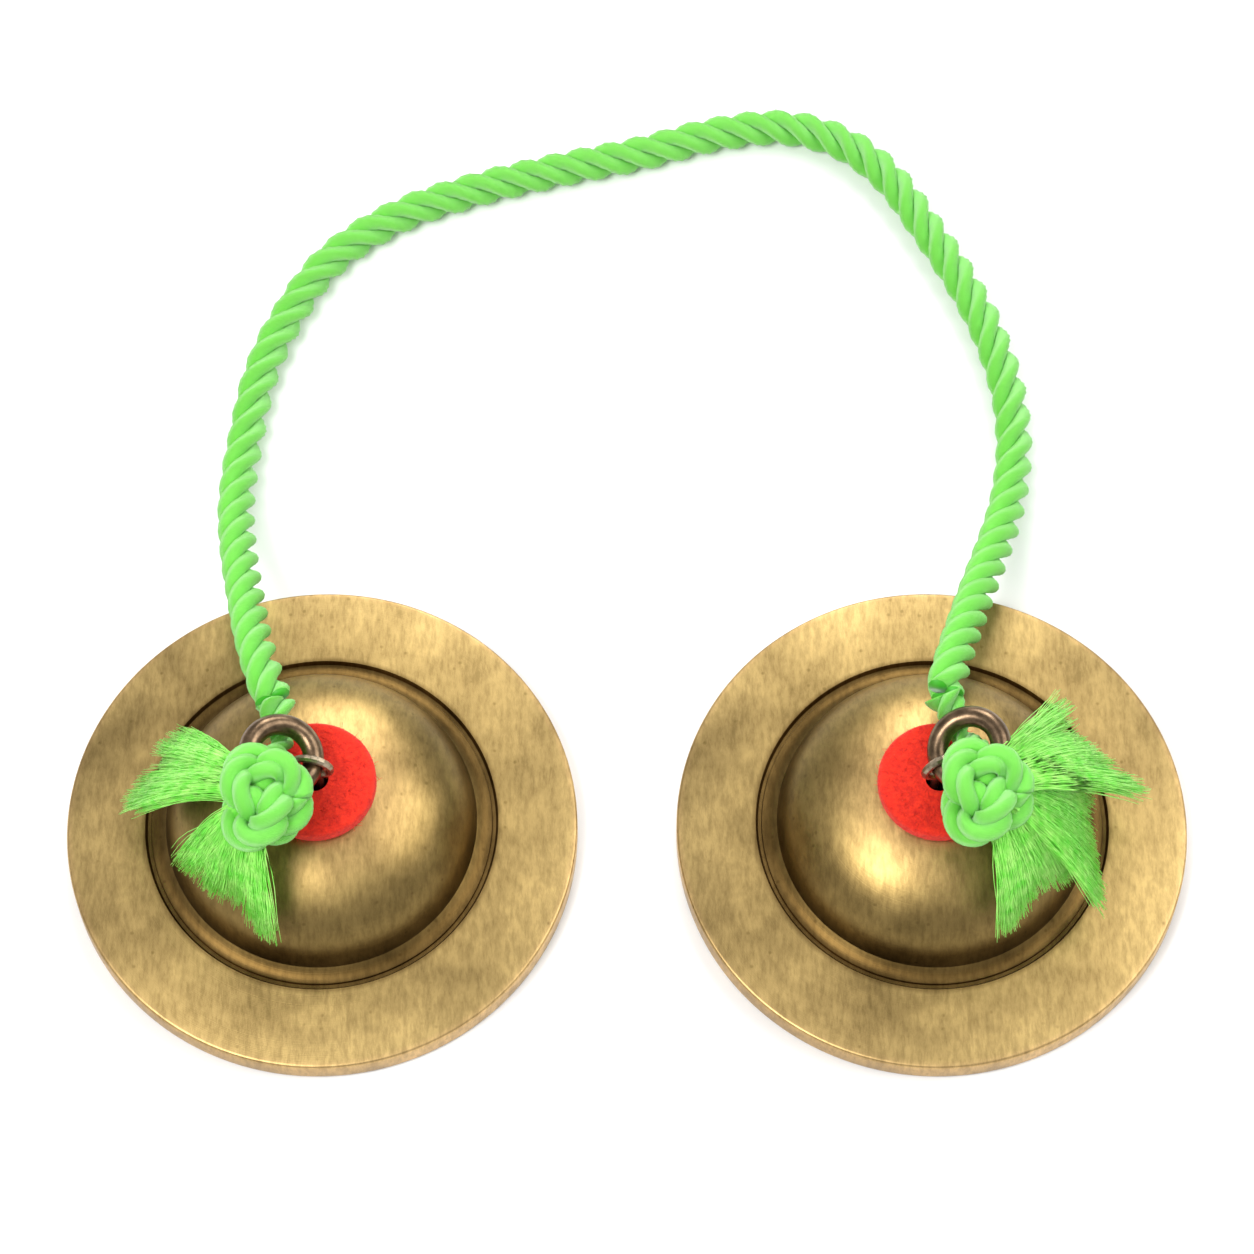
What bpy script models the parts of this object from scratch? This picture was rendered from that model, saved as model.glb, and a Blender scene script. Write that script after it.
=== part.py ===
"""A manjira: two small turned brass cymbals joined by one laid cord.

Metres, +Z up. The cymbals rest rim down on z = 0, side by side along X,
and the cord lies behind them (+Y). Each cymbal turns on a split pin whose
eye holds a loose ring, and the cord ends in a knot through that ring.
"""
import math

import bmesh
import bpy
from mathutils import Vector

MM = 0.001
GAP = 0.3 * MM

# The turned cymbal
CYMBAL_RADIUS = 32.0 * MM
HALF_SPACING = 38.2 * MM
RIM_THICK = 3.5 * MM
RIM_RISE = 0.9 * MM
RIM_BEVEL = 0.4 * MM
RIM_WIDTH = 9.9 * MM
GROOVE_DEPTH = 0.55 * MM
RIDGE_WIDTH = 0.8 * MM
DOME_RADIUS = 19.2 * MM
DOME_HEIGHT = 11.9 * MM
DOME_WALL = 2.5 * MM
DOME_SQUARENESS = 0.86
HOLE_RADIUS = 1.7 * MM
TURNED_SIDES = 44

# The felt washer, the inner washer and the split pin
FELT_RADIUS = 7.5 * MM
FELT_THICK = 2.5 * MM
WASHER_RADIUS = 5.0 * MM
WASHER_THICK = 0.9 * MM
WIRE_RADIUS = 0.5 * MM
LEG_HALF_SPACING = 0.62 * MM
LEG_SPREAD = 5.6 * MM
EYE_RADIUS = 2.2 * MM
EYE_STAND = 1.1 * MM

# The loose ring
RING_RADIUS = 4.05 * MM
RING_WIRE_RADIUS = 1.3 * MM

# The cord, its knot and its frayed ends
CORD_RADIUS = 2.5 * MM
NECK_RADIUS = 1.25 * MM
NECK_SHIFT = 0.8 * MM
FACE_LEAD = 1.0 * MM
KNOT_RADIUS = 3.3 * MM
KNOT_HALF_THICK = 1.5 * MM
KNOT_STRAND_RADIUS = 1.15 * MM
KNOT_STRETCH = (0.82, 1.12)
TASSEL_START = 6.7 * MM
TASSEL_HALF_WIDTH = 3.2 * MM
TASSEL_HALF_THICK = 1.5 * MM
TASSEL_ARCH = 1.8 * MM

RIM_TOP = RIM_THICK + RIM_RISE
DOME_TOP = RIM_TOP + DOME_HEIGHT
FELT_BOTTOM = DOME_TOP + GAP
FELT_TOP = FELT_BOTTOM + FELT_THICK
EYE_Z = FELT_TOP + EYE_STAND + WIRE_RADIUS + EYE_RADIUS
HOLLOW_RADIUS = DOME_RADIUS - DOME_WALL
HOLLOW_TOP = DOME_TOP - DOME_WALL
SEAT_TURN = math.acos((WASHER_RADIUS / HOLLOW_RADIUS) ** (1.0 / DOME_SQUARENESS))
WASHER_TOP = HOLLOW_TOP * math.sin(SEAT_TURN) ** DOME_SQUARENESS - GAP
WASHER_BOTTOM = WASHER_TOP - WASHER_THICK
LEG_Z = WASHER_BOTTOM - GAP - WIRE_RADIUS

# Each side: the ring leans along an azimuth and an elevation, in degrees.
# The cord leaves at cord_start, and the frayed ends fan out to the tips.
SIDES = {
    "left": {
        "x": -HALF_SPACING,
        "azimuth": 168.0,
        "elevation": 18.0,
        "cord_start": (-43.2, 9.0, 21.4),
        "knot": (-1.6, -7.2, 4.5),
        "tips": ((-60.0, 4.0, 9.5), (-49.5, -14.2, 14.5)),
    },
    "right": {
        "x": HALF_SPACING,
        "azimuth": 25.0,
        "elevation": 24.0,
        "cord_start": (38.8, 9.6, 22.6),
        "knot": (1.3, -7.4, 4.3),
        "tips": ((58.9, 7.0, 10.5), (58.0, -6.2, 10.5), (50.5, -14.6, 14.0)),
    },
}

# The free cord from the left ring to the right one, in millimetres.
CORD_ROUTE = (
    (-44.4, 12.2, 20.4), (-45.8, 16.9, 18.4), (-47.0, 21.9, 15.6),
    (-48.0, 27.2, 12.6), (-49.0, 32.4, 9.9), (-49.8, 37.8, 7.4),
    (-50.3, 43.0, 5.2), (-50.2, 48.8, 3.5), (-49.6, 54.6, 2.6),
    (-48.2, 63.1, 2.5), (-45.3, 71.2, 2.5), (-39.6, 80.6, 2.5),
    (-30.8, 87.4, 2.5), (-20.4, 91.6, 2.5), (-9.1, 94.7, 2.5),
    (1.7, 97.2, 2.5), (11.6, 100.1, 2.5), (20.8, 101.2, 2.5),
    (28.6, 99.0, 2.5), (34.8, 93.8, 2.5), (40.0, 85.6, 2.5),
    (44.5, 77.4, 2.5), (47.8, 69.6, 2.5), (49.9, 61.4, 2.5),
    (50.4, 54.4, 2.6), (49.9, 48.6, 3.5), (48.8, 43.0, 5.2),
    (47.3, 37.8, 7.4), (45.6, 32.6, 9.9), (43.9, 27.4, 12.8),
    (42.3, 22.2, 16.0), (40.8, 17.2, 19.0), (39.6, 12.8, 21.4),
)

BRASS = ("brass", (0.47, 0.27, 0.085), 0.38, 1.0)
DARK_BRONZE = ("dark_bronze", (0.115, 0.075, 0.042), 0.32, 1.0)
STEEL = ("wire", (0.32, 0.27, 0.2), 0.4, 1.0)
FELT = ("red_felt", (0.86, 0.022, 0.006), 0.95, 0.0)
CORD = ("green_cord", (0.16, 0.80, 0.06), 0.6, 0.0)


def clear_scene():
    for obj in list(bpy.data.objects):
        bpy.data.objects.remove(obj, do_unlink=True)


def material(spec):
    name, colour, roughness, metallic = spec
    found = bpy.data.materials.get(name)
    if found:
        return found
    made = bpy.data.materials.new(name)
    made.use_nodes = True
    shader = made.node_tree.nodes["Principled BSDF"]
    shader.inputs["Base Color"].default_value = (*colour, 1.0)
    shader.inputs["Roughness"].default_value = roughness
    shader.inputs["Metallic"].default_value = metallic
    return made


def add_mesh(name, bm, finish, place=(0.0, 0.0, 0.0), smooth_angle=35.0):
    """Close the bmesh off as one named object with outward faces."""
    bmesh.ops.recalc_face_normals(bm, faces=bm.faces)
    mesh = bpy.data.meshes.new(name)
    bm.to_mesh(mesh)
    bm.free()
    mesh.shade_smooth()
    mesh.set_sharp_from_angle(angle=math.radians(smooth_angle))
    mesh.materials.append(material(finish))
    obj = bpy.data.objects.new(name, mesh)
    obj.location = place
    bpy.context.collection.objects.link(obj)
    return obj


def turned(profile, sides):
    """Turn a closed (r, z) outline round Z."""
    bm = bmesh.new()
    rings = []
    for step in range(sides):
        angle = 2.0 * math.pi * step / sides
        rings.append([bm.verts.new((r * math.cos(angle), r * math.sin(angle), z))
                      for r, z in profile])
    count = len(profile)
    for step in range(sides):
        here, there = rings[step], rings[(step + 1) % sides]
        for i in range(count):
            j = (i + 1) % count
            bm.faces.new((here[i], there[i], there[j], here[j]))
    return bm


def dome_point(radius, height, base_z, turn):
    """A point of the dome: a squared-off ellipse, turn 0 at its foot."""
    return (radius * math.cos(turn) ** DOME_SQUARENESS,
            base_z + height * math.sin(turn) ** DOME_SQUARENESS)


def dome_arc(radius, height, base_z, first_turn, steps):
    """Points from first_turn up to the edge of the pin's hole."""
    last_turn = math.acos((HOLE_RADIUS / radius) ** (1.0 / DOME_SQUARENESS))
    points = [dome_point(radius, height, base_z,
                         first_turn + (last_turn - first_turn) * i / steps)
              for i in range(steps + 1)]
    points[-1] = (HOLE_RADIUS, points[-1][1])
    return points


def cymbal_profile():
    """Rim, groove with its ridge, flare, dome, hole and hollow."""
    edge = CYMBAL_RADIUS
    rim_inner = edge - RIM_WIDTH
    foot_turn = math.radians(9.0)
    foot = dome_point(DOME_RADIUS, DOME_HEIGHT, RIM_TOP, foot_turn)
    profile = [
        (edge - RIM_BEVEL, 0.0),
        (edge, RIM_BEVEL),
        (edge, RIM_THICK - RIM_BEVEL),
        (edge - RIM_BEVEL, RIM_THICK),
        (rim_inner, RIM_TOP),
        (rim_inner - 0.3 * MM, RIM_TOP - GROOVE_DEPTH),
        (rim_inner - 0.3 * MM - RIDGE_WIDTH, RIM_TOP - GROOVE_DEPTH),
        (rim_inner - 0.6 * MM - RIDGE_WIDTH, RIM_TOP - 0.2 * MM),
        (foot[0] + 0.9 * MM, RIM_TOP + 0.25 * MM),
        (foot[0] + 0.2 * MM, foot[1] - 0.8 * MM),
    ]
    profile += dome_arc(DOME_RADIUS, DOME_HEIGHT, RIM_TOP, foot_turn, 11)
    hollow = dome_arc(HOLLOW_RADIUS, HOLLOW_TOP, 0.0, math.radians(1.0), 9)
    hollow.reverse()
    profile += hollow
    profile.append((HOLLOW_RADIUS + 0.8 * MM, 0.0))
    return profile


def tube(name, points, radii, sides, finish, closed=False):
    """A round tube along points, with a radius at each."""
    bm = bmesh.new()
    count = len(points)
    points = [Vector(p) for p in points]
    rings = []
    side_way = None
    for i, point in enumerate(points):
        ahead = points[(i + 1) % count] if closed or i < count - 1 else point
        behind = points[i - 1] if closed or i > 0 else point
        along = (ahead - behind).normalized()
        if side_way is None:
            side_way = along.orthogonal().normalized()
        side_way = (side_way - along * side_way.dot(along)).normalized()
        other = along.cross(side_way)
        rings.append([bm.verts.new(point + radii[i] * (
            math.cos(2.0 * math.pi * k / sides) * side_way
            + math.sin(2.0 * math.pi * k / sides) * other)) for k in range(sides)])
    shift = 0
    if closed:
        first = rings[0][0].co - points[0]
        turned_way = side_way
        start_along = (points[1] - points[-1]).normalized()
        turned_way = (turned_way - start_along * turned_way.dot(start_along)).normalized()
        other = start_along.cross(turned_way)
        angle = math.atan2(first.dot(other), first.dot(turned_way))
        shift = round(angle / (2.0 * math.pi) * sides)
    for i in range(count if closed else count - 1):
        wraps = closed and i == count - 1
        here, there = rings[i], rings[(i + 1) % count]
        turn = -shift if wraps else 0
        for k in range(sides):
            m = (k + 1) % sides
            bm.faces.new((here[k], here[m],
                          there[(m + turn) % sides], there[(k + turn) % sides]))
    if not closed:
        bm.faces.new(rings[0][::-1])
        bm.faces.new(rings[-1])
    return add_mesh(name, bm, finish)


def smooth_route(points, steps):
    """A Catmull-Rom curve through the points, steps spans to each."""
    points = [Vector(p) for p in points]
    points = [points[0] * 2 - points[1]] + points + [points[-1] * 2 - points[-2]]
    out = []
    for i in range(1, len(points) - 2):
        before, here, there, after = points[i - 1:i + 3]
        for k in range(steps):
            t = k / steps
            out.append(0.5 * (2 * here + (there - before) * t
                              + (2 * before - 5 * here + 4 * there - after) * t * t
                              + (3 * here - before - 3 * there + after) * t ** 3))
    out.append(points[-2])
    return out


def lean(side):
    """The ring's way from its link to its centre, and its level tangent."""
    azimuth = math.radians(side["azimuth"])
    rise = math.radians(side["elevation"])
    out = Vector((math.cos(azimuth) * math.cos(rise),
                  math.sin(azimuth) * math.cos(rise), math.sin(rise)))
    level = Vector((-math.sin(azimuth), math.cos(azimuth), 0.0))
    if level.y < 0.0:
        level.negate()
    return out, level


def ring_centre(side):
    out, _ = lean(side)
    return Vector((side["x"], 0.0, EYE_Z)) + out * RING_RADIUS


def make_cymbal(prefix, side):
    place = (side["x"], 0.0, 0.0)
    add_mesh(prefix + "_cymbal", turned(cymbal_profile(), TURNED_SIDES), BRASS, place)


def make_washers(prefix, side):
    place = (side["x"], 0.0, 0.0)
    soft_edge = 0.45 * MM
    felt = [
        (HOLE_RADIUS, FELT_BOTTOM),
        (FELT_RADIUS - soft_edge, FELT_BOTTOM),
        (FELT_RADIUS, FELT_BOTTOM + soft_edge),
        (FELT_RADIUS, FELT_TOP - soft_edge),
        (FELT_RADIUS - soft_edge, FELT_TOP),
        (HOLE_RADIUS, FELT_TOP),
    ]
    washer = [
        (HOLE_RADIUS, WASHER_BOTTOM),
        (WASHER_RADIUS, WASHER_BOTTOM),
        (WASHER_RADIUS, WASHER_TOP),
        (HOLE_RADIUS, WASHER_TOP),
    ]
    add_mesh(prefix + "_felt_washer", turned(felt, 28), FELT, place)
    add_mesh(prefix + "_inner_washer", turned(washer, 24), BRASS, place)


def make_split_pin(prefix, side):
    """One wire: out of a spread leg, up, round the eye and down again."""
    azimuth = math.radians(side["azimuth"])
    across = Vector((math.cos(azimuth), math.sin(azimuth), 0.0))
    origin = Vector((side["x"], 0.0, 0.0))
    half_mouth = math.asin(LEG_HALF_SPACING / EYE_RADIUS)
    leg = [
        (LEG_SPREAD, LEG_Z),
        (LEG_HALF_SPACING + 1.5 * MM, LEG_Z),
        (LEG_HALF_SPACING + 0.3 * MM, LEG_Z + 0.3 * MM),
        (LEG_HALF_SPACING, LEG_Z + 1.2 * MM),
        (LEG_HALF_SPACING, EYE_Z - EYE_RADIUS - 0.5 * MM),
    ]
    flat = [(-a, z) for a, z in leg]
    eye_steps = 18
    for i in range(eye_steps + 1):
        turn = half_mouth + (2.0 * math.pi - 2.0 * half_mouth) * i / eye_steps
        flat.append((-EYE_RADIUS * math.sin(turn), EYE_Z - EYE_RADIUS * math.cos(turn)))
    flat += leg[::-1]
    points = [origin + across * a + Vector((0.0, 0.0, z)) for a, z in flat]
    tube(prefix + "_split_pin", points, [WIRE_RADIUS] * len(points), 8, STEEL)


def make_ring(prefix, side):
    out, level = lean(side)
    centre = ring_centre(side)
    steps = 28
    points = [centre + RING_RADIUS * (math.cos(2.0 * math.pi * i / steps) * out
                                      + math.sin(2.0 * math.pi * i / steps) * level)
              for i in range(steps)]
    tube(prefix + "_ring", points, [RING_WIRE_RADIUS] * steps, 10, DARK_BRONZE, closed=True)


def cord_way(prefix, side):
    """The way the cord runs where it leaves the neck."""
    first = CORD_ROUTE[0] if prefix == "left" else CORD_ROUTE[-1]
    return (Vector(first) - Vector(side["cord_start"])).normalized()


def knot_centre(side):
    return ring_centre(side) + Vector(side["knot"]) * MM


def make_knot(prefix, side):
    """A crossing strand as a trefoil, joined to a neck through the ring."""
    centre = knot_centre(side)
    steps = 54
    strand = []
    for i in range(steps):
        t = 2.0 * math.pi * i / steps
        reach = KNOT_RADIUS + KNOT_HALF_THICK * math.cos(3.0 * t)
        strand.append(centre + Vector((
            reach * math.cos(2.0 * t) * KNOT_STRETCH[0],
            reach * math.sin(2.0 * t) * KNOT_STRETCH[1],
            KNOT_HALF_THICK * math.sin(3.0 * t))))
    knot = tube(prefix + "_knot", strand, [KNOT_STRAND_RADIUS] * steps, 8, CORD, closed=True)
    out, level = lean(side)
    hub = ring_centre(side) + out * NECK_SHIFT
    up = Vector((0.0, 0.0, 1.0))
    start = Vector(side["cord_start"]) * MM
    low = hub + level * 2.8 * MM - up * 3.25 * MM
    behind = low.lerp(start, 0.45)
    behind.z = low.z
    inside = centre + Vector((0.0, 2.6 * MM, 0.2 * MM))
    stops = [inside, hub - level * 0.7 * MM + up * 1.0 * MM,
             hub + level * 0.5 * MM - up * 1.45 * MM, low, behind, start]
    lead = cord_way(prefix, side) * FACE_LEAD
    stops[-1] = start - lead
    route = smooth_route(stops, 3) + [start]
    full = CORD_RADIUS - 0.2 * MM
    radii = []
    for i in range(len(route)):
        swell = min(1.0, max(0.0, (i - 11) / (len(route) - 13)))
        radii.append(NECK_RADIUS + (full - NECK_RADIUS) * swell * swell)
    neck = tube(prefix + "_neck_guide", route, radii, 10, CORD)
    join = knot.modifiers.new("neck", "BOOLEAN")
    join.operation = "UNION"
    join.solver = "EXACT"
    join.object = neck
    neck.hide_render = True
    neck.display_type = "WIRE"


def make_tassels(prefix, side):
    """The frayed ends: one flattened, widening fan to each tip."""
    centre = knot_centre(side)
    steps, sides = 6, 10
    for number, tip in enumerate(side["tips"], 1):
        tip = Vector(tip) * MM
        out = tip - centre
        flat_out = Vector((out.x, out.y, 0.0)).normalized()
        across = Vector((-flat_out.y, flat_out.x, 0.0))
        start = centre + flat_out * TASSEL_START - Vector((0.0, 0.0, 0.6 * MM))
        slope = (tip.z - start.z) / (tip - start).length
        along = Vector((flat_out.x, flat_out.y, slope)).normalized()
        up = along.cross(across)
        if up.z < 0.0:
            up.negate()
        bm = bmesh.new()
        rings = []
        for i in range(steps + 1):
            t = i / steps
            point = start.lerp(tip, t)
            point.z += TASSEL_ARCH * math.sin(math.pi * t)
            half_width = TASSEL_HALF_WIDTH * (0.5 + 0.5 * t)
            half_thick = TASSEL_HALF_THICK * (1.0 - 0.6 * t)
            rings.append([bm.verts.new(
                point + across * half_width * math.cos(2.0 * math.pi * k / sides)
                + up * half_thick * math.sin(2.0 * math.pi * k / sides))
                for k in range(sides)])
        for i in range(steps):
            for k in range(sides):
                m = (k + 1) % sides
                bm.faces.new((rings[i][k], rings[i][m], rings[i + 1][m], rings[i + 1][k]))
        bm.faces.new(rings[0][::-1])
        bm.faces.new(rings[-1])
        add_mesh(f"{prefix}_tassel_{number}", bm, CORD)


def make_cord():
    """The free stretch between the two necks, laid on the surface."""
    left = Vector(SIDES["left"]["cord_start"]) * MM
    right = Vector(SIDES["right"]["cord_start"]) * MM
    stops = [Vector(p) * MM for p in CORD_ROUTE]
    left_way = cord_way("left", SIDES["left"])
    right_way = cord_way("right", SIDES["right"])
    route = smooth_route([left + left_way * (GAP + FACE_LEAD)] + stops
                         + [right + right_way * (GAP + FACE_LEAD)], 2)
    route = [left + left_way * GAP] + route + [right + right_way * GAP]
    data = bpy.data.curves.new("cord", "CURVE")
    data.dimensions = "3D"
    data.bevel_depth = CORD_RADIUS
    data.bevel_resolution = 2
    data.use_fill_caps = True
    spline = data.splines.new("POLY")
    spline.points.add(len(route) - 1)
    for point, place in zip(spline.points, route):
        point.co = (*place, 1.0)
    data.materials.append(material(CORD))
    cord = bpy.data.objects.new("cord", data)
    bpy.context.collection.objects.link(cord)


def main():
    clear_scene()
    for prefix, side in SIDES.items():
        make_cymbal(prefix, side)
        make_washers(prefix, side)
        make_split_pin(prefix, side)
        make_ring(prefix, side)
        make_knot(prefix, side)
        make_tassels(prefix, side)
    make_cord()


main()
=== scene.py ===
"""The looks of a manjira: two turned brass cymbals joined by a laid green cord."""
import math
import random

import bpy
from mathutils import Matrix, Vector, noise


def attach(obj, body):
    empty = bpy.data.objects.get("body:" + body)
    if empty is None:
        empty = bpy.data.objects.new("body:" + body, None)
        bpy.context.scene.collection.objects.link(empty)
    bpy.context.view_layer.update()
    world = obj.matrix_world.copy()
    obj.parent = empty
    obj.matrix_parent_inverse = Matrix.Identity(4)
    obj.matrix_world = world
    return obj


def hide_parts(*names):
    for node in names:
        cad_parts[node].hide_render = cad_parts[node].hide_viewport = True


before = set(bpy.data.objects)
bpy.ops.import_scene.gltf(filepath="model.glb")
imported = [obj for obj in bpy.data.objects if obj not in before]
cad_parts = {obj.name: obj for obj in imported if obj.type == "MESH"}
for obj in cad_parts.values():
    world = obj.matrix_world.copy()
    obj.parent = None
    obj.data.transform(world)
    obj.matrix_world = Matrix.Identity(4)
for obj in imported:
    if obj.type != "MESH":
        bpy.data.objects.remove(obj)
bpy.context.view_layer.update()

MM = 0.001
UP = Vector((0.0, 0.0, 1.0))

# The turned cymbal. Its flare has points that lie out from the dome's foot
# and up from the rim.
CYMBAL_RADIUS = 32.0 * MM
HALF_SPACING = 38.2 * MM
RIM_THICK = 3.5 * MM
RIM_TOP = 4.4 * MM
RIM_BEVEL = 0.4 * MM
RIM_BEVEL_STEPS = 4
RIM_WIDTH = 9.9 * MM
GROOVE_DEPTH = 0.55 * MM
GROOVE_WALL = 0.3 * MM
RIDGE_WIDTH = 0.8 * MM
RIDGE_SLOPE = 0.1 * MM
RIDGE_DIP = 0.2 * MM
FLARE = ((0.9 * MM, 0.25 * MM), (0.45 * MM, 0.55 * MM))
FOOT_OUT = 0.2 * MM
FOOT_DROP = 0.8 * MM
DOME_RADIUS = 19.2 * MM
DOME_HEIGHT = 11.9 * MM
DOME_WALL = 2.5 * MM
DOME_SQUARENESS = 0.86
DOME_FOOT_TURN = math.radians(9.0)
HOLLOW_FOOT_TURN = math.radians(1.0)
HOLLOW_BEVEL = 0.8 * MM
HOLE_RADIUS = 1.7 * MM
TURNED_SIDES = 200
DOME_STEPS = 40
HOLLOW_STEPS = 30
LATHE_LINES_PER_METRE = 9000.0

# The felt washer and its loose fibres
FELT_RADIUS = 7.5 * MM
FELT_BOTTOM = 16.6 * MM
FELT_TOP = 19.1 * MM
FELT_EDGE = 0.7 * MM
FELT_EDGE_STEPS = 5
FELT_SIDES = 96
FELT_RINGS = 9
FELT_DENT = 0.1 * MM
FELT_DENTS_PER_METRE = 900.0
FUZZ_COUNT = 900
FUZZ_BARE_SHARE = 0.12
FUZZ_LIFT = (0.05, 0.35)
FUZZ_LENGTH = (0.3 * MM, 1.0 * MM)
FUZZ_THICK = 0.03 * MM
FUZZ_DROOP = 0.1 * MM
FUZZ_ROOT = 0.05 * MM

# The ring in the split pin's eye
EYE_Z = 22.9 * MM
RING_RADIUS = 4.05 * MM
RING_WIRE_RADIUS = 1.3 * MM
RING_STEPS = 72
RING_SIDES = 24

# The cord: each lay is a strand's radius, its distance from the middle and its pitch.
# A strand's UV map is in millimetres, along the strand and round it.
CORD_GAP = 0.3 * MM
FACE_LEAD = 1.0 * MM
CORD_LAY = (1.2 * MM, 1.26 * MM, 11.5 * MM)
KNOT_LAY = (1.22 * MM, 1.02 * MM, 10.0 * MM)
NECK_LAY = (0.7 * MM, 0.72 * MM, 7.5 * MM)
STRAND_COUNT = 3
STRAND_SIDES = 10
YARN_MAP_WIDTH = 7.5
CORD_STEPS = 10

# The knot over the ring
KNOT_RADIUS = 3.3 * MM
KNOT_HALF_THICK = 1.5 * MM
KNOT_STRETCH = (0.82, 1.12, 1.15)
KNOT_LOBES = 3
KNOT_TURNS = 2
KNOT_STEPS = 150

# The neck starts at an offset from the knot's centre and passes down through
# the ring at stops along the ring's level tangent and up, in millimetres.
NECK_SHIFT = 0.8 * MM
NECK_IN_KNOT = (0.0, 2.6, 0.2)
NECK_STOPS = ((-0.7, 1.0), (0.5, -1.45), (2.8, -3.25))
NECK_BEND_SHARE = 0.45
NECK_STEPS = 12
NECK_SWELL = 1.9
NECK_SWELL_START = 42
NECK_SWELL_POWER = 1.5

# The frayed ends: locks of fibres that fan out. A reach is a share of the way to the tip.
LOCK_COUNT = 17
LOCK_REACH = (0.8, 1.05)
LOCK_LIFT = (-0.8 * MM, 1.6 * MM)
FIBRE_COUNT = 1700
FIBRE_POINTS = 8
FIBRE_THICK = 0.07 * MM
FIBRE_SPREAD = 0.13
FIBRE_REACH = (0.86, 1.05)
FIBRE_RISE = (-0.6 * MM, 0.8 * MM)
FIBRE_CRIMP = (0.1 * MM, 0.45 * MM)
FRAY_START = 3.2 * MM
FRAY_ROOT_WIDTH = 2.0 * MM
FRAY_WIDTH = 7.0 * MM
FRAY_WIDTH_POWER = 1.1
FRAY_ARCH = 2.2 * MM
FRAY_HALF_HEIGHT = 1.3 * MM
FRAY_WAVES = 7.0
HAIR_SIDES = 3
HAIR_TAPER = 0.5

# The camera, fitted to both rims
VIEW_ELEVATION = math.radians(65.83)
VIEW_DISTANCE = 0.6
VIEW_TARGET = Vector((0.0, 27.2 * MM, 3.6 * MM))
LENS = 134.9
SENSOR_WIDTH = 36.0

# The floor and the lamps: place, size and power
FLOOR_HALF_SIZE = 1.5
FLOOR_Z = -0.2 * MM
WORLD_STRENGTH = 0.5
LAMP_AIM = Vector((0.0, 0.03, 0.0))
LAMPS = {
    "key": ((-0.35, -0.25, 0.75), 0.35, 5.2),
    "fill": ((0.5, 0.1, 0.6), 0.5, 3.0),
    "back": ((0.05, 0.7, 0.5), 0.4, 3.4),
}

# Brass from the dome's middle out to the edge, as shares of the radius. The dome's top is lighter as
# a painted highlight and its sides grow darker as painted shade. The dark band at the dome's foot and
# groove is partly patina and partly painted shade, and the outer edge is lighter.
BRASS_PATINA_AND_PAINTED_LIGHT = (
    (0.0, (0.62, 0.43, 0.19)),
    (0.27, (0.58, 0.39, 0.16)),
    (0.42, (0.4, 0.28, 0.105)),
    (0.56, (0.24, 0.165, 0.058)),
    (0.635, (0.13, 0.078, 0.024)),
    (0.685, (0.17, 0.105, 0.035)),
    (0.71, (0.42, 0.295, 0.115)),
    (0.97, (0.45, 0.32, 0.13)),
    (1.0, (0.56, 0.38, 0.17)),
)
BRASS_CLOUDS = ((0.3, (0.62, 0.6, 0.56)), (0.68, (1.2, 1.2, 1.18)))
BRASS_PITS = ((0.05, (0.45, 0.42, 0.36)), (0.13, (1.0, 1.0, 1.0)))
BRASS_MARKS = ((0.36, (0.6, 0.58, 0.54)), (0.6, (1.12, 1.12, 1.1)))
FELT_REDS = ((0.3, (0.6, 0.008, 0.002)), (0.68, (0.97, 0.03, 0.006)))
YARN_GREENS = ((0.05, (0.05, 0.42, 0.015)), (0.5, (0.17, 0.8, 0.055)), (0.95, (0.36, 1.0, 0.16)))
FIBRE_GREENS = ((0.3, (0.2, 0.85, 0.06)), (0.7, (0.5, 1.0, 0.22)))

# Each side: the ring leans along an azimuth and an elevation, in degrees.
# The cord's start and the tips are places, and the knot is an offset from
# the ring's centre, in millimetres.
SIDES = {
    "left": {
        "x": -HALF_SPACING,
        "azimuth": 168.0,
        "elevation": 18.0,
        "cord_start": (-43.2, 9.0, 21.4),
        "knot": (-1.6, -7.2, 4.5),
        "tips": ((-60.0, 4.0, 9.5), (-49.5, -14.2, 14.5)),
        "tip_seeds": (1, 2),
        "fuzz_seed": 7,
    },
    "right": {
        "x": HALF_SPACING,
        "azimuth": 25.0,
        "elevation": 24.0,
        "cord_start": (38.8, 9.6, 22.6),
        "knot": (1.3, -7.4, 4.3),
        "tips": ((58.9, 7.0, 10.5), (58.0, -6.2, 10.5), (50.5, -14.6, 14.0)),
        "tip_seeds": (11, 12, 13),
        "fuzz_seed": 8,
    },
}

# The free cord from the left ring to the right one, in millimetres
CORD_ROUTE = (
    (-44.4, 12.2, 20.4), (-45.8, 16.9, 18.4), (-47.0, 21.9, 15.6),
    (-48.0, 27.2, 12.6), (-49.0, 32.4, 9.9), (-49.8, 37.8, 7.4),
    (-50.3, 43.0, 5.2), (-50.2, 48.8, 3.5), (-49.6, 54.6, 2.6),
    (-48.2, 63.1, 2.5), (-45.3, 71.2, 2.5), (-39.6, 80.6, 2.5),
    (-30.8, 87.4, 2.5), (-20.4, 91.6, 2.5), (-9.1, 94.7, 2.5),
    (1.7, 97.2, 2.5), (11.6, 100.1, 2.5), (20.8, 101.2, 2.5),
    (28.6, 99.0, 2.5), (34.8, 93.8, 2.5), (40.0, 85.6, 2.5),
    (44.5, 77.4, 2.5), (47.8, 69.6, 2.5), (49.9, 61.4, 2.5),
    (50.4, 54.4, 2.6), (49.9, 48.6, 3.5), (48.8, 43.0, 5.2),
    (47.3, 37.8, 7.4), (45.6, 32.6, 9.9), (43.9, 27.4, 12.8),
    (42.3, 22.2, 16.0), (40.8, 17.2, 19.0), (39.6, 12.8, 21.4),
)


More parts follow.
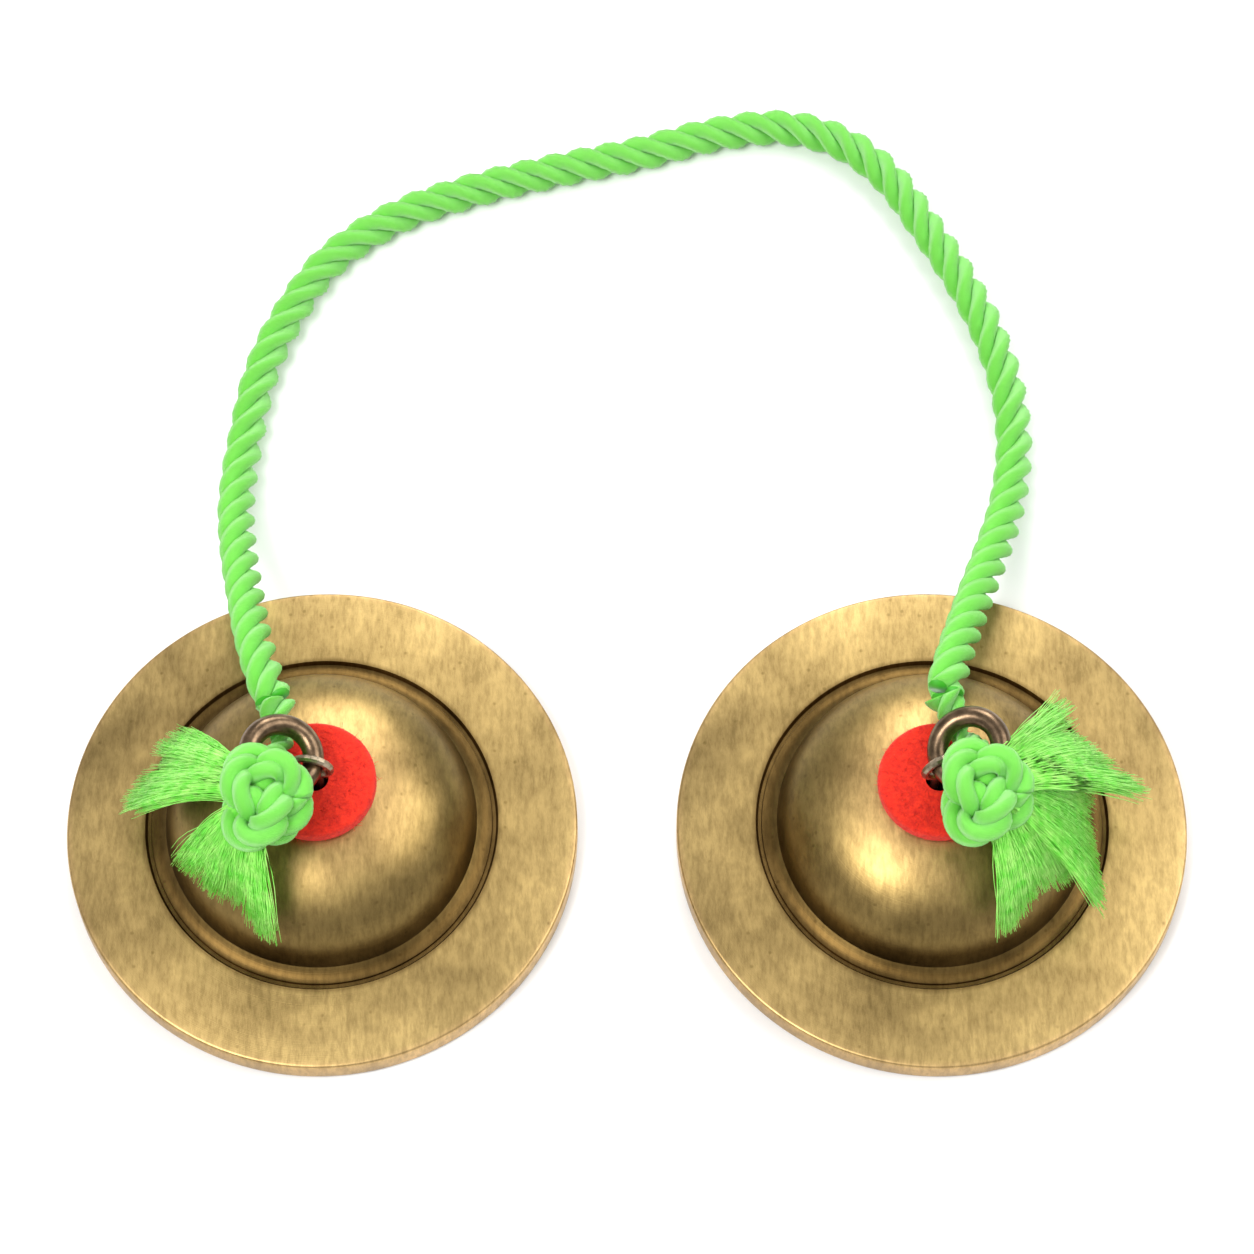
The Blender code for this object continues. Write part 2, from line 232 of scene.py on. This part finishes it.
def new_material(name, colour, roughness, metallic=0.0):
    """A plain material, with its node tree and its shader."""
    made = bpy.data.materials.new(name)
    made.use_nodes = True
    tree = made.node_tree
    shader = tree.nodes["Principled BSDF"]
    shader.inputs["Base Color"].default_value = (*colour, 1.0)
    shader.inputs["Roughness"].default_value = roughness
    shader.inputs["Metallic"].default_value = metallic
    return made, tree, shader


def add_node(tree, kind, **values):
    """A node whose named sockets or settings take the values given."""
    node = tree.nodes.new(kind)
    for key, value in values.items():
        if key in node.inputs:
            node.inputs[key].default_value = value
        else:
            setattr(node, key, value)
    return node


def textured(tree, kind, vector, **values):
    """A texture node that reads the vector given."""
    node = add_node(tree, kind, **values)
    tree.links.new(vector, node.inputs["Vector"])
    return node


def ramp(tree, source, stops):
    """Colours that follow a value, from stops of a place and a colour."""
    node = tree.nodes.new("ShaderNodeValToRGB")
    tree.links.new(source, node.inputs["Fac"])
    while len(node.color_ramp.elements) < len(stops):
        node.color_ramp.elements.new(0.5)
    for element, (place, colour) in zip(node.color_ramp.elements, stops):
        element.position = place
        element.color = (*colour, 1.0)
    return node.outputs["Color"]


def mixed(tree, factor, first, second, blend="MIX"):
    """Two colours mixed, with the second one's share as the factor."""
    node = tree.nodes.new("ShaderNodeMix")
    node.data_type = "RGBA"
    node.blend_type = blend
    node.inputs["Factor"].default_value = factor
    tree.links.new(first, node.inputs["A"])
    tree.links.new(second, node.inputs["B"])
    return node.outputs["Result"]


def add_bump(tree, shader, height, strength, distance):
    bump = add_node(tree, "ShaderNodeBump", Strength=strength, Distance=distance)
    tree.links.new(height, bump.inputs["Height"])
    tree.links.new(bump.outputs["Normal"], shader.inputs["Normal"])


def distance_from_axis(tree, vector):
    """How far a point lies from the cymbal's own axis."""
    split = add_node(tree, "ShaderNodeSeparateXYZ")
    tree.links.new(vector, split.inputs[0])
    flat = add_node(tree, "ShaderNodeCombineXYZ")
    tree.links.new(split.outputs["X"], flat.inputs["X"])
    tree.links.new(split.outputs["Y"], flat.inputs["Y"])
    reach = add_node(tree, "ShaderNodeVectorMath", operation="LENGTH")
    tree.links.new(flat.outputs[0], reach.inputs[0])
    return reach.outputs["Value"]


def turning_lines(tree, reach):
    """Fine rings left by the lathe."""
    lines = add_node(tree, "ShaderNodeTexNoise", Scale=1.0, Detail=4.0)
    turning = add_node(tree, "ShaderNodeCombineXYZ")
    wide = add_node(tree, "ShaderNodeMath", operation="MULTIPLY")
    wide.inputs[1].default_value = LATHE_LINES_PER_METRE
    tree.links.new(reach, wide.inputs[0])
    tree.links.new(wide.outputs[0], turning.inputs["X"])
    tree.links.new(turning.outputs[0], lines.inputs["Vector"])
    return lines.outputs["Fac"]


def brass_material(prefix, centre_x):
    """Satin brass: turning lines, stray scratches, pits, a painted highlight on the dome's top,
    painted shade down its sides, and a groove darkened by patina and painted shade.
    """
    made, tree, shader = new_material(prefix + "_brass", (0.45, 0.29, 0.1),
                                      roughness=0.36, metallic=1.0)
    place = add_node(tree, "ShaderNodeTexCoord")
    shift = textured(tree, "ShaderNodeMapping", place.outputs["Object"],
                     Location=(-centre_x, 0.0, 0.0))
    here = shift.outputs["Vector"]
    reach = distance_from_axis(tree, here)
    share = add_node(tree, "ShaderNodeMapRange")
    share.inputs["From Max"].default_value = CYMBAL_RADIUS
    tree.links.new(reach, share.inputs["Value"])
    # A ramp out from the axis paints a highlight on the dome's top and shade down its sides. In the
    # groove it paints shade on top of real patina.
    patina_and_painted_light = ramp(tree, share.outputs["Result"], BRASS_PATINA_AND_PAINTED_LIGHT)

    cloud = textured(tree, "ShaderNodeTexNoise", here, Scale=95.0, Detail=7.0, Roughness=0.62)
    clouds = ramp(tree, cloud.outputs["Fac"], BRASS_CLOUDS)
    colour = mixed(tree, 1.0, patina_and_painted_light, clouds, "MULTIPLY")
    lines = turning_lines(tree, reach)
    stretch = textured(tree, "ShaderNodeMapping", here, Scale=(1500.0, 420.0, 420.0),
                       Rotation=(0.0, 0.0, math.radians(24.0)))
    scratch = textured(tree, "ShaderNodeTexNoise", stretch.outputs[0],
                       Scale=1.0, Detail=5.0, Roughness=0.7)
    pits = textured(tree, "ShaderNodeTexVoronoi", here, Scale=420.0)
    pit = ramp(tree, pits.outputs["Distance"], BRASS_PITS)
    colour = mixed(tree, 0.5, colour, pit, "MULTIPLY")
    marks = ramp(tree, scratch.outputs["Fac"], BRASS_MARKS)
    colour = mixed(tree, 0.6, colour, marks, "MULTIPLY")
    tree.links.new(colour, shader.inputs["Base Color"])

    rough = add_node(tree, "ShaderNodeMapRange")
    rough.inputs["To Min"].default_value = 0.3
    rough.inputs["To Max"].default_value = 0.52
    tree.links.new(cloud.outputs["Fac"], rough.inputs["Value"])
    tree.links.new(rough.outputs["Result"], shader.inputs["Roughness"])
    both = mixed(tree, 0.5, lines, scratch.outputs["Fac"])
    add_bump(tree, shader, both, strength=0.45, distance=0.07 * MM)
    return made


def dark_metal(name, colour, roughness):
    """Tarnished metal with worn, lighter patches."""
    made, tree, shader = new_material(name, colour, roughness, metallic=1.0)
    place = add_node(tree, "ShaderNodeTexCoord")
    cloud = textured(tree, "ShaderNodeTexNoise", place.outputs["Object"],
                     Scale=520.0, Detail=6.0, Roughness=0.65)
    tarnished = tuple(0.5 * c for c in colour)
    worn = tuple(min(1.0, 1.9 * c) for c in colour)
    patches = ramp(tree, cloud.outputs["Fac"], ((0.32, tarnished), (0.7, worn)))
    tree.links.new(patches, shader.inputs["Base Color"])
    add_bump(tree, shader, cloud.outputs["Fac"], strength=0.3, distance=0.08 * MM)
    return made


def felt_material():
    """Pressed red wool, darker between its fibres."""
    made, tree, shader = new_material("red_felt", (0.86, 0.03, 0.008), roughness=0.95)
    shader.inputs["Sheen Weight"].default_value = 0.06
    shader.inputs["Sheen Roughness"].default_value = 0.6
    place = add_node(tree, "ShaderNodeTexCoord")
    fuzz = textured(tree, "ShaderNodeTexNoise", place.outputs["Object"],
                    Scale=1500.0, Detail=5.0, Roughness=0.7)
    tree.links.new(ramp(tree, fuzz.outputs["Fac"], FELT_REDS), shader.inputs["Base Color"])
    add_bump(tree, shader, fuzz.outputs["Fac"], strength=0.8, distance=0.25 * MM)
    return made


def yarn_material():
    """Fine yarns twisted round each strand, from the strand's own UV map."""
    made, tree, shader = new_material("green_yarn", (0.16, 0.8, 0.06), roughness=0.5)
    shader.inputs["Sheen Weight"].default_value = 0.4
    shader.inputs["Sheen Roughness"].default_value = 0.4
    place = add_node(tree, "ShaderNodeUVMap", uv_map="lay")
    turn = textured(tree, "ShaderNodeMapping", place.outputs[0],
                    Rotation=(0.0, 0.0, math.radians(38.0)))
    yarn = textured(tree, "ShaderNodeTexWave", turn.outputs[0],
                    Scale=2.6, Distortion=2.2, Detail=3.0)
    yarn.inputs["Detail Scale"].default_value = 1.6
    tree.links.new(ramp(tree, yarn.outputs["Fac"], YARN_GREENS), shader.inputs["Base Color"])
    add_bump(tree, shader, yarn.outputs["Fac"], strength=0.55, distance=0.14 * MM)
    return made


def fibre_material():
    """Loose fibres, each a little lighter or darker than the next."""
    made, tree, shader = new_material("green_fibre", (0.2, 0.86, 0.07), roughness=0.45)
    place = add_node(tree, "ShaderNodeTexCoord")
    shades = textured(tree, "ShaderNodeTexNoise", place.outputs["Object"], Scale=700.0, Detail=2.0)
    tree.links.new(ramp(tree, shades.outputs["Fac"], FIBRE_GREENS), shader.inputs["Base Color"])
    return made


def add_mesh(name, points, faces, finish, uvs=None):
    """One smooth object, with a UV map if each face's corners are given one."""
    mesh = bpy.data.meshes.new(name)
    mesh.from_pydata(points, [], faces)
    mesh.update()
    mesh.shade_smooth()
    if uvs:
        layer = mesh.uv_layers.new(name="lay")
        for polygon, corners in zip(mesh.polygons, uvs):
            for loop, uv in zip(polygon.loop_indices, corners):
                layer.data[loop].uv = uv
    mesh.materials.append(finish)
    obj = bpy.data.objects.new(name, mesh)
    bpy.context.collection.objects.link(obj)
    return obj


def turned(name, profile, sides, centre_x, finish, sharp_degrees):
    """Turn a closed (r, z) outline that runs up the outside."""
    count = len(profile)
    points, faces = [], []
    for step in range(sides):
        angle = math.tau * step / sides
        points += [(centre_x + r * math.cos(angle), r * math.sin(angle), z) for r, z in profile]
    for step in range(sides):
        here, there = step * count, (step + 1) % sides * count
        for i in range(count):
            j = (i + 1) % count
            faces.append((here + i, there + i, there + j, here + j))
    obj = add_mesh(name, points, faces, finish)
    obj.data.set_sharp_from_angle(angle=math.radians(sharp_degrees))
    return obj


def quarter_round(r, z, size, start_degrees, steps):
    """A quarter circle of an outline, round the point (r, z)."""
    turns = [math.radians(start_degrees + 90.0 / steps * i) for i in range(steps + 1)]
    return [(r + size * math.cos(turn), z + size * math.sin(turn)) for turn in turns]


def dome_arc(radius, height, base_z, first_turn, steps):
    """A squared-off ellipse from its foot up to the edge of the hole."""
    last_turn = math.acos((HOLE_RADIUS / radius) ** (1.0 / DOME_SQUARENESS))
    points = []
    for i in range(steps + 1):
        turn = first_turn + (last_turn - first_turn) * i / steps
        points.append((radius * math.cos(turn) ** DOME_SQUARENESS,
                       base_z + height * math.sin(turn) ** DOME_SQUARENESS))
    return points


def cymbal_profile():
    """Rounded rim, groove with its ridge, flare, dome, hole and hollow."""
    edge = CYMBAL_RADIUS - RIM_BEVEL
    groove = CYMBAL_RADIUS - RIM_WIDTH - GROOVE_WALL
    outer = dome_arc(DOME_RADIUS, DOME_HEIGHT, RIM_TOP, DOME_FOOT_TURN, DOME_STEPS)
    foot_r, foot_z = outer[0]
    profile = quarter_round(edge, RIM_BEVEL, RIM_BEVEL, -90.0, RIM_BEVEL_STEPS)
    profile += quarter_round(edge, RIM_THICK - RIM_BEVEL, RIM_BEVEL, 0.0, RIM_BEVEL_STEPS)
    profile += [
        (groove + GROOVE_WALL, RIM_TOP),
        (groove, RIM_TOP - GROOVE_DEPTH),
        (groove - 0.5 * RIDGE_WIDTH, RIM_TOP - GROOVE_DEPTH),
        (groove - RIDGE_SLOPE - 0.5 * RIDGE_WIDTH, RIM_TOP - 0.4 * GROOVE_DEPTH),
        (groove - GROOVE_WALL - RIDGE_WIDTH, RIM_TOP - RIDGE_DIP),
    ]
    profile += [(foot_r + out, RIM_TOP + rise) for out, rise in FLARE]
    profile.append((foot_r + FOOT_OUT, foot_z - FOOT_DROP))
    profile += outer
    hollow_radius = DOME_RADIUS - DOME_WALL
    hollow_top = RIM_TOP + DOME_HEIGHT - DOME_WALL
    profile += dome_arc(hollow_radius, hollow_top, 0.0, HOLLOW_FOOT_TURN, HOLLOW_STEPS)[::-1]
    profile.append((hollow_radius + HOLLOW_BEVEL, 0.0))
    return profile


def smooth_route(points, steps):
    """A Catmull-Rom curve through the points, with steps spans to each."""
    points = [Vector(p) for p in points]
    points = [points[0] * 2 - points[1]] + points + [points[-1] * 2 - points[-2]]
    out = []
    for i in range(1, len(points) - 2):
        before, here, there, after = points[i - 1:i + 3]
        for k in range(steps):
            t = k / steps
            out.append(0.5 * (2 * here + (there - before) * t
                              + (2 * before - 5 * here + 4 * there - after) * t * t
                              + (3 * here - before - 3 * there + after) * t ** 3))
    out.append(points[-2])
    return out


def direction(points, i):
    """The way a line of points runs at its point i."""
    return (points[min(i + 1, len(points) - 1)] - points[max(i - 1, 0)]).normalized()


def route_frames(route):
    """Each point with its way, two ways across it, and the run so far."""
    frames, run, across = [], 0.0, None
    for i, point in enumerate(route):
        along = direction(route, i)
        if across is None:
            across = along.orthogonal().normalized()
        else:
            run += (point - route[i - 1]).length
        across = (across - along * across.dot(along)).normalized()
        frames.append((point, along, across.copy(), along.cross(across), run))
    return frames


def tube_faces(base, rings, sides):
    """The faces of a tube of rings of points, closed at both ends."""
    faces = []
    for i in range(rings - 1):
        here, there = base + i * sides, base + (i + 1) * sides
        for k in range(sides):
            m = (k + 1) % sides
            faces.append((here + k, here + m, there + m, there + k))
    last = base + (rings - 1) * sides
    faces.append(tuple(base + k for k in reversed(range(sides))))
    faces.append(tuple(last + k for k in range(sides)))
    return faces


def laid_rope(name, route, lay, finish, swell=None):
    """Strands laid right-handed along a route, each a closed tube."""
    strand_radius, lay_radius, pitch = lay
    sides = STRAND_SIDES
    frames = route_frames(route)
    points, faces, uvs = [], [], []
    for strand in range(STRAND_COUNT):
        faces += tube_faces(len(points), len(frames), sides)
        for i, (point, along, one, two, run) in enumerate(frames):
            scale = swell[i] if swell else 1.0
            turn = math.tau * (strand / STRAND_COUNT + run / pitch)
            out = math.cos(turn) * one + math.sin(turn) * two
            middle = point + out * lay_radius * scale
            over = along.cross(out)
            for k in range(sides):
                angle = math.tau * k / sides
                points.append(middle + strand_radius * scale
                              * (math.cos(angle) * out + math.sin(angle) * over))
        for here, there in zip(frames, frames[1:]):
            u, v = here[-1] / MM, there[-1] / MM
            for k in range(sides):
                a, b = YARN_MAP_WIDTH * k / sides, YARN_MAP_WIDTH * (k + 1) / sides
                uvs.append(((u, a), (u, b), (v, b), (v, a)))
        uvs += [((0.0, 0.0),) * sides] * 2
    return add_mesh(name, points, faces, finish, uvs)


def fibres(name, strands, thick, finish):
    """Thin hairs that taper, each a closed tube."""
    turns = [math.tau * k / HAIR_SIDES for k in range(HAIR_SIDES)]
    corners = [(math.cos(turn), math.sin(turn)) for turn in turns]
    points, faces = [], []
    for strand in strands:
        faces += tube_faces(len(points), len(strand), HAIR_SIDES)
        for i, point in enumerate(strand):
            along = direction(strand, i)
            one = along.orthogonal().normalized()
            two = along.cross(one)
            size = thick * (1.0 - HAIR_TAPER * i / len(strand))
            points += [point + size * (a * one + b * two) for a, b in corners]
    return add_mesh(name, points, faces, finish)


def lean(side):
    """The ring's way from its link to its centre, and its level tangent."""
    azimuth = math.radians(side["azimuth"])
    rise = math.radians(side["elevation"])
    out = Vector((math.cos(azimuth) * math.cos(rise),
                  math.sin(azimuth) * math.cos(rise), math.sin(rise)))
    level = Vector((-math.sin(azimuth), math.cos(azimuth), 0.0))
    if level.y < 0.0:
        level.negate()
    return out, level


def ring_centre(side):
    return Vector((side["x"], 0.0, EYE_Z)) + lean(side)[0] * RING_RADIUS


def knot_centre(side):
    return ring_centre(side) + Vector(side["knot"]) * MM


def make_ring(prefix, side, finish):
    """The loose ring, a torus that leans out from the pin's eye."""
    out, level = lean(side)
    centre = ring_centre(side)
    normal = out.cross(level)
    points, faces = [], []
    for i in range(RING_STEPS):
        turn = math.tau * i / RING_STEPS
        way = math.cos(turn) * out + math.sin(turn) * level
        for k in range(RING_SIDES):
            angle = math.tau * k / RING_SIDES
            points.append(centre + way * (RING_RADIUS + RING_WIRE_RADIUS * math.cos(angle))
                          + normal * RING_WIRE_RADIUS * math.sin(angle))
    for i in range(RING_STEPS):
        here, there = i * RING_SIDES, (i + 1) % RING_STEPS * RING_SIDES
        for k in range(RING_SIDES):
            m = (k + 1) % RING_SIDES
            faces.append((here + k, there + k, there + m, here + m))
    return add_mesh(prefix + "_worn_ring", points, faces, finish)


def make_felt(prefix, side, finish):
    """A felt disc with soft edges and small dents on top."""
    flat_radius = FELT_RADIUS - FELT_EDGE
    profile = [(HOLE_RADIUS, FELT_BOTTOM)]
    profile += quarter_round(flat_radius, FELT_BOTTOM + FELT_EDGE, FELT_EDGE, -90.0, FELT_EDGE_STEPS)
    profile += quarter_round(flat_radius, FELT_TOP - FELT_EDGE, FELT_EDGE, 0.0, FELT_EDGE_STEPS)
    for i in range(1, FELT_RINGS + 1):
        profile.append((flat_radius - (flat_radius - HOLE_RADIUS) * i / FELT_RINGS, FELT_TOP))
    felt = turned(prefix + "_felt", profile, FELT_SIDES, side["x"], finish, sharp_degrees=80.0)
    for vertex in felt.data.vertices:
        if vertex.co.z > FELT_TOP - FELT_EDGE:
            push = noise.noise(vertex.co * FELT_DENTS_PER_METRE) * FELT_DENT
            vertex.co.z += min(0.0, push)
    return felt


def make_felt_fuzz(prefix, side, finish):
    """Short fibres that stand a little off the felt's top and edge."""
    rng = random.Random(side["fuzz_seed"])
    strands = []
    for _ in range(FUZZ_COUNT):
        angle = rng.uniform(0.0, math.tau)
        reach = FELT_RADIUS * math.sqrt(rng.uniform(FUZZ_BARE_SHARE, 1.0))
        on_edge = reach > FELT_RADIUS - FELT_EDGE
        height = rng.uniform(FELT_BOTTOM, FELT_TOP) if on_edge else FELT_TOP - FUZZ_ROOT
        start = Vector((side["x"] + reach * math.cos(angle), reach * math.sin(angle), height))
        turn = rng.uniform(0.0, math.tau)
        lift = rng.uniform(*FUZZ_LIFT)
        way = Vector((math.cos(turn), math.sin(turn), lift)).normalized()
        length = rng.uniform(*FUZZ_LENGTH)
        end = start + way * length - UP * FUZZ_DROOP
        strands.append([start, start + way * length * 0.5, end])
    return fibres(prefix + "_felt_fuzz", strands, FUZZ_THICK, finish)


def make_knot(prefix, side, finish):
    """The knotted cord above the ring, as one three-lobed crossing loop."""
    centre = knot_centre(side)
    across, deep, high = KNOT_STRETCH
    loop = []
    for i in range(KNOT_STEPS + 1):
        t = math.tau * i / KNOT_STEPS
        reach = KNOT_RADIUS + KNOT_HALF_THICK * math.cos(KNOT_LOBES * t)
        loop.append(centre + Vector((reach * math.cos(KNOT_TURNS * t) * across,
                                     reach * math.sin(KNOT_TURNS * t) * deep,
                                     KNOT_HALF_THICK * high * math.sin(KNOT_LOBES * t))))
    return laid_rope(prefix + "_laid_knot", loop, KNOT_LAY, finish)


def make_neck(prefix, side, finish):
    """The cord drawn thin through the ring, which swells again behind it."""
    out, level = lean(side)
    hub = ring_centre(side) + out * NECK_SHIFT
    inside = knot_centre(side) + Vector(NECK_IN_KNOT) * MM
    passing = [hub + level * across * MM + UP * rise * MM for across, rise in NECK_STOPS]
    start = Vector(side["cord_start"]) * MM
    behind = passing[-1].lerp(start, NECK_BEND_SHARE)
    behind.z = passing[-1].z
    route = smooth_route([inside, *passing, behind, start], NECK_STEPS)
    span = len(route) - 1 - NECK_SWELL_START
    swell = [1.0 + (NECK_SWELL - 1.0) * max(0.0, (i - NECK_SWELL_START) / span) ** NECK_SWELL_POWER
             for i in range(len(route))]
    return laid_rope(prefix + "_laid_neck", route, NECK_LAY, finish, swell)


def make_frayed_end(name, knot, tip, seed, finish):
    """Unlaid fibres that leave the knot together and spread to the tip."""
    rng = random.Random(seed)
    tip = Vector(tip) * MM
    flat = Vector((tip.x - knot.x, tip.y - knot.y, 0.0)).normalized()
    across = Vector((-flat.y, flat.x, 0.0))
    start = knot + flat * FRAY_START
    locks = [(rng.uniform(-1.0, 1.0), rng.uniform(*LOCK_REACH), rng.uniform(*LOCK_LIFT))
             for _ in range(LOCK_COUNT)]
    strands = []
    for _ in range(FIBRE_COUNT):
        middle, reach, lift = rng.choice(locks)
        fan = middle + rng.gauss(0.0, FIBRE_SPREAD)
        length = reach * rng.uniform(*FIBRE_REACH)
        rise = lift + rng.uniform(*FIBRE_RISE)
        wave = rng.uniform(0.0, math.tau)
        crimp = rng.uniform(*FIBRE_CRIMP)
        depth = rng.uniform(-FRAY_HALF_HEIGHT, FRAY_HALF_HEIGHT)
        root = start + across * fan * FRAY_ROOT_WIDTH + UP * depth
        strand = []
        for i in range(FIBRE_POINTS):
            t = i / (FIBRE_POINTS - 1) * length
            point = root.lerp(tip, t) + across * fan * FRAY_WIDTH * t ** FRAY_WIDTH_POWER
            point.z += FRAY_ARCH * math.sin(math.pi * min(1.0, t)) + rise * t
            point += across * crimp * math.sin(wave + FRAY_WAVES * t)
            strand.append(point)
        strands.append(strand)
    return fibres(name, strands, FIBRE_THICK, finish)


def cord_end(prefix):
    """Where the cord leaves a neck, and the way it runs there."""
    first = CORD_ROUTE[0] if prefix == "left" else CORD_ROUTE[-1]
    start = Vector(SIDES[prefix]["cord_start"])
    return start * MM, (Vector(first) - start).normalized()


def cord_route(steps):
    """The free cord's centreline, straight where it leaves each neck."""
    left, left_way = cord_end("left")
    right, right_way = cord_end("right")
    stops = [Vector(p) * MM for p in CORD_ROUTE]
    route = smooth_route([left + left_way * (CORD_GAP + FACE_LEAD)] + stops
                         + [right + right_way * (CORD_GAP + FACE_LEAD)], steps)
    return [left + left_way * CORD_GAP] + route + [right + right_way * CORD_GAP]


def make_camera():
    """A camera in front of the object that looks down on it."""
    data = bpy.data.cameras.new("camera")
    data.lens = LENS
    data.sensor_width = SENSOR_WIDTH
    camera = bpy.data.objects.new("camera", data)
    way = Vector((0.0, -math.cos(VIEW_ELEVATION), math.sin(VIEW_ELEVATION)))
    camera.location = VIEW_TARGET + way * VIEW_DISTANCE
    camera.rotation_euler = (math.pi / 2.0 - VIEW_ELEVATION, 0.0, 0.0)
    bpy.context.collection.objects.link(camera)
    bpy.context.scene.camera = camera


def make_floor():
    """A dull white floor just under the rims."""
    made, _, shader = new_material("floor_white", (0.93, 0.93, 0.93), roughness=0.9)
    shader.inputs["Specular IOR Level"].default_value = 0.1
    half = FLOOR_HALF_SIZE
    corners = [(-half, -half, FLOOR_Z), (half, -half, FLOOR_Z),
               (half, half, FLOOR_Z), (-half, half, FLOOR_Z)]
    add_mesh("floor", corners, [(0, 1, 2, 3)], made)


def make_light():
    """A white world and three soft lamps."""
    world = bpy.data.worlds.new("studio")
    bpy.context.scene.world = world
    world.use_nodes = True
    background = world.node_tree.nodes["Background"]
    background.inputs["Color"].default_value = (1.0, 1.0, 1.0, 1.0)
    background.inputs["Strength"].default_value = WORLD_STRENGTH
    for name, (place, size, power) in LAMPS.items():
        data = bpy.data.lights.new(name, "AREA")
        data.size = size
        data.energy = power
        lamp = bpy.data.objects.new(name, data)
        lamp.location = place
        lamp.rotation_euler = (LAMP_AIM - Vector(place)).to_track_quat("-Z", "Y").to_euler()
        bpy.context.collection.objects.link(lamp)
    bpy.context.scene.view_settings.view_transform = "Standard"


def paint(node, finish):
    """Give a node of the frame a new finish."""
    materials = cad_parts[node].data.materials
    materials.clear()
    materials.append(finish)


def place_piece(piece, body, node=None):
    """Let a piece ride on a body, and stand for a node if one is named."""
    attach(piece, body)
    if node:
        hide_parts(node)


def dress_bell(prefix, side, brass, felt):
    """The cymbal and its felt washer, which turn together."""
    bell = prefix + "_bell"
    cymbal = turned(prefix + "_turned_cymbal", cymbal_profile(), TURNED_SIDES, side["x"], brass,
                    sharp_degrees=28.0)
    place_piece(cymbal, bell, prefix + "_cymbal")
    place_piece(make_felt(prefix, side, felt), bell, prefix + "_felt_washer")
    place_piece(make_felt_fuzz(prefix, side, felt), bell)


def dress_hanger(prefix, side, bronze, yarn, fibre):
    """The ring, knot, neck and frayed ends. Returns what is on the cord."""
    hanger = prefix + "_hanger"
    place_piece(make_ring(prefix, side, bronze), hanger, prefix + "_ring")
    knot = make_knot(prefix, side, yarn)
    place_piece(knot, hanger, prefix + "_knot")
    neck = make_neck(prefix, side, yarn)
    place_piece(neck, hanger)
    on_cord = [knot, neck]
    for number, (tip, seed) in enumerate(zip(side["tips"], side["tip_seeds"]), 1):
        frayed = make_frayed_end(f"{prefix}_frayed_end_{number}", knot_centre(side), tip, seed, fibre)
        place_piece(frayed, hanger, f"{prefix}_tassel_{number}")
        on_cord.append(frayed)
    return on_cord


def dress_cord(yarn):
    """The laid cord between the two necks."""
    rope = laid_rope("laid_cord", cord_route(CORD_STEPS), CORD_LAY, yarn)
    place_piece(rope, "cord", "cord")


def main():
    """The stage, the two sides and the cord between them."""
    make_camera()
    make_floor()
    make_light()
    yarn, fibre, felt = yarn_material(), fibre_material(), felt_material()
    bronze = dark_metal("dark_bronze", (0.15, 0.1, 0.06), roughness=0.3)
    wire = dark_metal("pin_wire", (0.32, 0.26, 0.18), roughness=0.35)
    on_cord = []
    for prefix, side in SIDES.items():
        brass = brass_material(prefix, side["x"])
        dress_bell(prefix, side, brass, felt)
        on_cord += dress_hanger(prefix, side, bronze, yarn, fibre)
        paint(prefix + "_split_pin", wire)
        paint(prefix + "_inner_washer", brass)
    dress_cord(yarn)


main()
